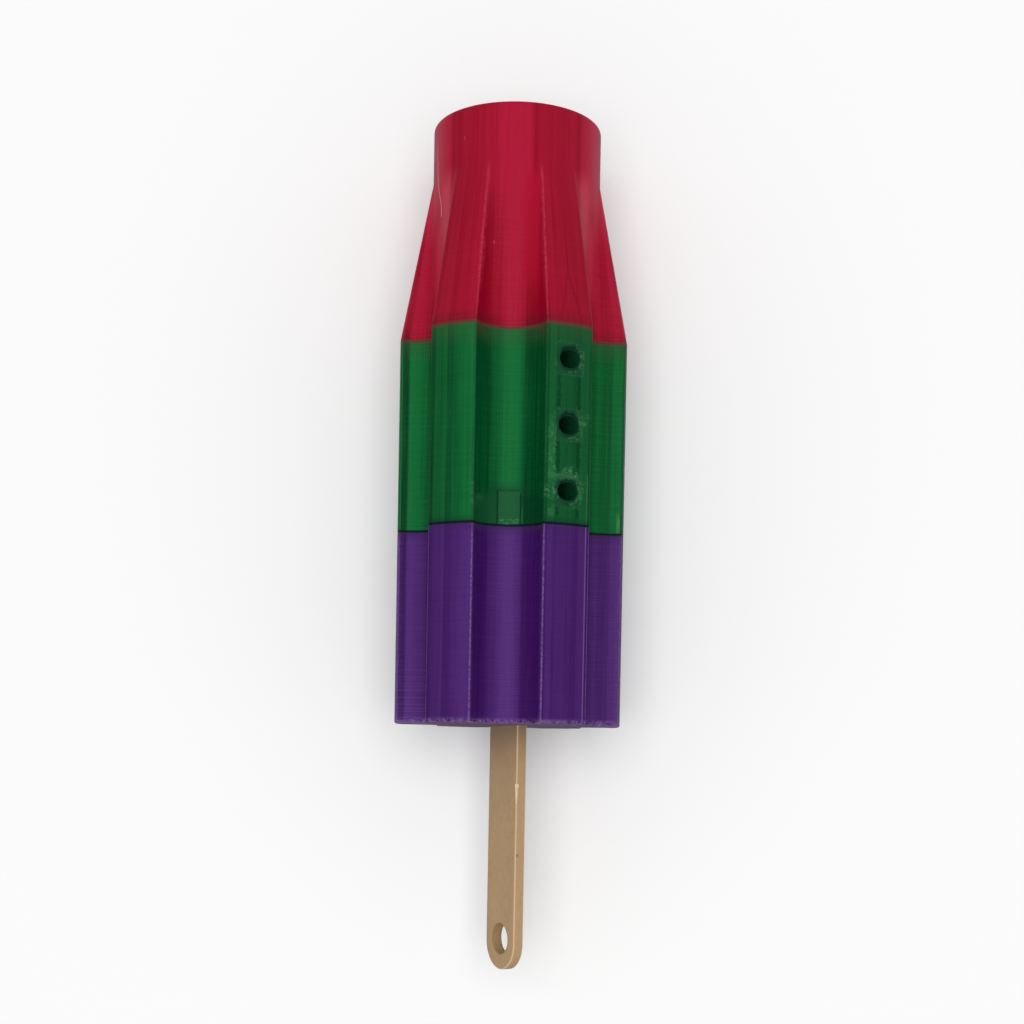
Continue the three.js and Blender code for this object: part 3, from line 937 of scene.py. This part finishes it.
def rounded(radius, end, inwards, round_, steps=ROUND_STEPS):
    """Levels of a quarter-round edge between a flat end and the side."""
    levels = []
    for i in range(steps + 1):
        a = math.pi / 2 * i / steps
        height = end + inwards * radius * (1 - math.cos(a))
        levels.append((height, radius * (1 - math.sin(a)), round_))
    return levels if inwards > 0 else levels[::-1]


def spread(start, end, count):
    """Heights at equal steps."""
    return [start + (end - start) * i / count for i in range(count + 1)]


def shade(mesh, smooth_below=SMOOTH_BELOW):
    """Smooth, but for sharp edges and the flat ends."""
    mesh.shade_smooth()
    for face in mesh.polygons:
        face.use_smooth = face.material_index != END_FINISH
    mesh.set_sharp_from_angle(angle=math.radians(smooth_below))


def finished_piece(name, bm, materials, smooth_below=SMOOTH_BELOW):
    """Lays a shaped piece down in place and makes it an object."""
    bmesh.ops.transform(bm, matrix=LAID_DOWN, verts=bm.verts)
    mesh = bpy.data.meshes.new(name)
    bm.to_mesh(mesh)
    bm.free()
    for material in materials:
        mesh.materials.append(material)
    shade(mesh, smooth_below)
    piece = bpy.data.objects.new(name, mesh)
    bpy.context.scene.collection.objects.link(piece)
    return piece


def lathe_cutter(name, profile, matrix, material_index):
    """A round cutter from a profile of (radius, height) points, open at the axis."""
    bm = bmesh.new()
    verts = [bm.verts.new((radius, 0, height)) for radius, height in profile]
    edges = [bm.edges.new(pair) for pair in zip(verts, verts[1:])]
    bmesh.ops.spin(
        bm, geom=verts + edges, cent=(0, 0, 0), axis=(0, 0, 1), angle=math.tau,
        steps=LATHE_STEPS, use_merge=True,
    )
    bmesh.ops.remove_doubles(bm, verts=bm.verts, dist=WELD_DISTANCE)
    face_outwards(bm)
    for face in bm.faces:
        face.material_index = material_index
    bmesh.ops.transform(bm, matrix=LAID_DOWN @ matrix, verts=bm.verts)
    mesh = bpy.data.meshes.new(name)
    bm.to_mesh(mesh)
    bm.free()
    cutter = bpy.data.objects.new(name, mesh)
    bpy.context.scene.collection.objects.link(cutter)
    return cutter


def cut_away(piece, cutters):
    """Cuts each cutter out of a piece, and removes the cutters."""
    for cutter in cutters:
        for material in piece.data.materials:
            cutter.data.materials.append(material)
        modifier = piece.modifiers.new(cutter.name, "BOOLEAN")
        modifier.operation = "DIFFERENCE"
        modifier.solver = "EXACT"
        modifier.object = cutter
    bpy.context.view_layer.update()
    shown = piece.evaluated_get(bpy.context.evaluated_depsgraph_get())
    cut = bpy.data.meshes.new_from_object(shown)
    piece.modifiers.clear()
    piece.data = cut
    for cutter in cutters:
        bpy.data.objects.remove(cutter)
    shade(cut)


def flared_bore(radius, bottom, mouth, lip):
    """Profile of a bore with a rounded lip at its mouth, closed at the bottom and running
    on past the mouth."""
    profile = [(0, bottom), (radius, bottom)]
    for i in range(LIP_STEPS + 1):
        a = math.pi / 2 * i / LIP_STEPS
        profile.append((radius + lip * (1 - math.cos(a)), mouth - lip + lip * math.sin(a)))
    profile += [(radius + lip, mouth + OVERRUN), (0, mouth + OVERRUN)]
    return profile


def make_sections(materials):
    tip_levels = [(MIDDLE_TOP, 0, 0)]
    for height in spread(TAPER_START, NECK_START, TAPER_STEPS):
        done = (height - TAPER_START) / (NECK_START - TAPER_START)
        tip_levels.append((height, 0, done))
    neck = spread(NECK_START, TIP_TOP - RIM_ROUND, NECK_STEPS)[1:-1]
    tip_levels += [(height, 0, 1) for height in neck]
    tip_levels += rounded(RIM_ROUND, TIP_TOP, -1, 1)
    body = lofted_body(tip_levels)
    tip = finished_piece("tip", body, materials["red"], TIP_SMOOTH_BELOW)

    middle_levels = rounded(JOINT_ROUND, BASE_TOP + HAIR, 1, 0, JOINT_STEPS)
    side = spread(BASE_TOP, MIDDLE_TOP, SIDE_STEPS)[1:]
    middle_levels += [(height, 0, 0) for height in side]
    body = lofted_body(middle_levels)
    middle = finished_piece("middle", body, materials["green"])
    cutters = []
    for row in (-1, 0, 1):
        height = HOLE_MIDDLE + row * HOLE_SPACING
        matrix = (
            Matrix.Translation((0, 0, height))
            @ Matrix.Rotation(math.radians(HOLE_LOBE + HOLE_ASIDE), 4, "Z")
            @ Matrix.Rotation(math.radians(90), 4, "Y")
            @ Matrix.Diagonal((HOLE_SAG, HOLE_SPREAD, 1, 1))
        )
        profile = flared_bore(HOLE_RADIUS, BODY_RADIUS - HOLE_DEPTH, BODY_RADIUS, HOLE_LIP)
        cutters.append(lathe_cutter(f"bore {row}", profile, matrix, BORE_FINISH))
    cut_away(middle, cutters)

    base_levels = rounded(FOOT_ROUND, 0, 1, 0)
    side = spread(FOOT_ROUND, BASE_TOP - JOINT_ROUND, SIDE_STEPS)[1:-1]
    base_levels += [(height, 0, 0) for height in side]
    base_levels += rounded(JOINT_ROUND, BASE_TOP, -1, 0, JOINT_STEPS)
    body = lofted_body(base_levels)
    lean = Matrix.Identity(4)
    lean[2][0] = FOOT_LEAN
    lean[2][3] = FOOT_LEAN * BODY_RADIUS * math.cos(math.radians(LOBE_HALF))
    foot = [vert for vert in body.verts if vert.co.z < FOOT_ROUND + HAIR]
    bmesh.ops.transform(body, matrix=lean, verts=foot)
    base = finished_piece("base", body, materials["purple"])
    for piece, node in ((tip, "tip_section"), (middle, "middle_section"), (base, "base_section")):
        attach(piece, "root")
        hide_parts(node)


def make_stick(materials):
    half = STICK_WIDTH / 2
    bm = bmesh.new()
    wear_and_highlight = bm.faces.layers.float.new("edge")
    corner = bm.verts.new((half, STICK_SUNK, 0))
    top = bm.verts.new((-half, STICK_SUNK, 0))
    side = bm.verts.new((-half, STICK_END + half, 0))
    bm.edges.new((corner, top))
    bm.edges.new((top, side))
    last = drawn_arc(bm, side, (0, STICK_END + half), 180, STICK_END_STEPS)
    bm.edges.new((last, corner))
    face = bmesh.ops.contextual_create(bm, geom=list(bm.edges))["faces"]
    made = bmesh.ops.extrude_face_region(bm, geom=face)["geom"]
    lifted = [g for g in made if isinstance(g, bmesh.types.BMVert)]
    bmesh.ops.translate(bm, verts=lifted, vec=(0, 0, STICK_THICKNESS))
    bmesh.ops.translate(bm, verts=bm.verts, vec=(0, 0, -STICK_THICKNESS / 2))
    face_outwards(bm)
    sharp = [edge for edge in bm.edges if edge.calc_face_angle(0) > math.radians(60)]
    rounded_edges = bmesh.ops.bevel(
        bm, geom=sharp, offset=STICK_EDGE, segments=STICK_EDGE_STEPS, profile=0.5,
        affect="EDGES", material=-1,
    )
    # the rounded edges are marked for their painted highlight
    for face in rounded_edges["faces"]:
        face[wear_and_highlight] = EDGE_HIGHLIGHT
    bmesh.ops.transform(bm, matrix=STICK_STANDS, verts=bm.verts)
    stick = finished_piece("lolly_stick", bm, materials["tan"])

    reach = STICK_THICKNESS / 2
    profile = flared_bore(STICK_HOLE_RADIUS, 0, reach, STICK_HOLE_LIP)[1:]
    profile = [(r, -h) for r, h in profile[::-1]] + profile[1:]
    height = STICK_END + STICK_HOLE_UP
    matrix = STICK_STANDS @ Matrix.Translation((0, height, 0))
    hole = lathe_cutter("hanging hole", profile, matrix, BORE_FINISH)
    corner = Matrix.Translation((half + CHIP_OUT, CHIP_HEIGHT, reach + CHIP_OUT))
    upright = Matrix.Rotation(math.radians(90), 4, "X")
    chip = lathe_cutter("chip", CHIP_PROFILE, STICK_STANDS @ corner @ upright, END_FINISH)
    cut_away(stick, [hole, chip])
    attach(stick, "root")
    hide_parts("stick")


# Colours

# In each set, deep and clear are the ends of the bands' shade, which is partly painted shade; the
# sheen tint goes into a partly painted reflection, and glint is a painted highlight.
RED = {
    "deep": srgb(138, 0, 28), "clear": srgb(169, 15, 50),
    "milky_sheen": srgb(153, 22, 47), "glint": srgb(186, 48, 74),
}
RED_STRENGTH = {"Lobe contrast": 0.4, "Streaks": 1.3, "Lines": 2.0, "Glint": 0.65, "Milky sheen": 0.3}
GREEN = {
    "deep": srgb(0, 60, 28), "clear": srgb(11, 110, 53),
    "milky_sheen": srgb(26, 93, 51), "glint": srgb(44, 100, 62),
}
GREEN_STRENGTH = {"Lobe contrast": 1.0, "Streaks": 1.0, "Lines": 1.2, "Glint": 0.28, "Milky sheen": 0.3}
PURPLE = {
    "deep": srgb(53, 11, 83), "clear": srgb(82, 42, 117),
    "milky_sheen": srgb(82, 46, 113), "glint": srgb(116, 82, 146),
}
PURPLE_STRENGTH = {"Lobe contrast": 0.85, "Streaks": 0.7, "Lines": 1.1, "Glint": 1.0, "Milky sheen": 0.2}


def make_materials():
    groups = {
        "place": place_on_lolly(),
        "bands": moulded_bands(),
        "layers": printed_layers(),
        "patch": patch_mask(),
        "specks": speck_mask(),
    }
    return {
        "red": [
            body_plastic("red plastic", groups, RED, RED_STRENGTH, red_features),
            plain_plastic(
                "red plastic end", srgb(150, 28, 50), grain=1800, roughness=0.45, coat=0.2
            ),
        ],
        "green": [
            body_plastic("green plastic", groups, GREEN, GREEN_STRENGTH, green_features),
            plain_plastic("green plastic end", srgb(20, 80, 45), grain=1800, roughness=0.5),
            plain_plastic(
                "green plastic in the holes", srgb(9, 66, 42),
                grain=900, roughness=0.5, contrast=0.35,
            ),
        ],
        "purple": [
            body_plastic("purple plastic", groups, PURPLE, PURPLE_STRENGTH, purple_features),
            plain_plastic(
                "frosted purple underside", srgb(100, 78, 114),
                grain=1600, roughness=0.7, contrast=0.75,
            ),
        ],
        "tan": [
            stick_plastic(),
            plain_plastic(
                "tan plastic in the chip", srgb(216, 192, 156), grain=1200, roughness=0.6
            ),
            plain_plastic(
                "tan plastic in the hole", srgb(150, 121, 82),
                grain=1500, roughness=0.6, contrast=0.25,
            ),
        ],
    }


add_camera()
add_stage()
materials = make_materials()
make_sections(materials)
make_stick(materials)
